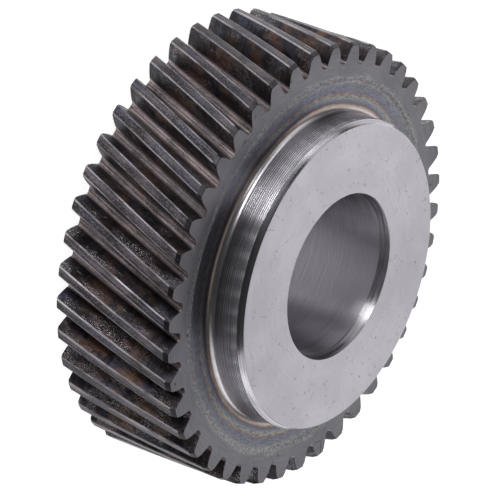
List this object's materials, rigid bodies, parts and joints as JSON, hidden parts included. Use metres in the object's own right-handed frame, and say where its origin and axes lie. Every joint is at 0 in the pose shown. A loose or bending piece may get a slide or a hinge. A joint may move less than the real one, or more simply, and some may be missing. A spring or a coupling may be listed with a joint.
{
  "type": "saw gear",
  "caption": "Right-hand helical gear with a low round hub and a plain bore, as used in the gearbox of a power saw.",
  "frame": {"origin": "on the gear's axis, in the plane of its flat back face", "axes": "+Z along the bore axis, from the back face towards the hub; a tooth is centred on +X in the back face"},
  "size_m": [0.0466, 0.0466, 0.0179],
  "materials": {
    "steel": "turned hub and ground bore bright, toothed ring dull grey, tooth flanks left dark by heat treatment"
  },
  "bodies": {
    "root": {"gear": "steel"}
  },
  "joints": []
}
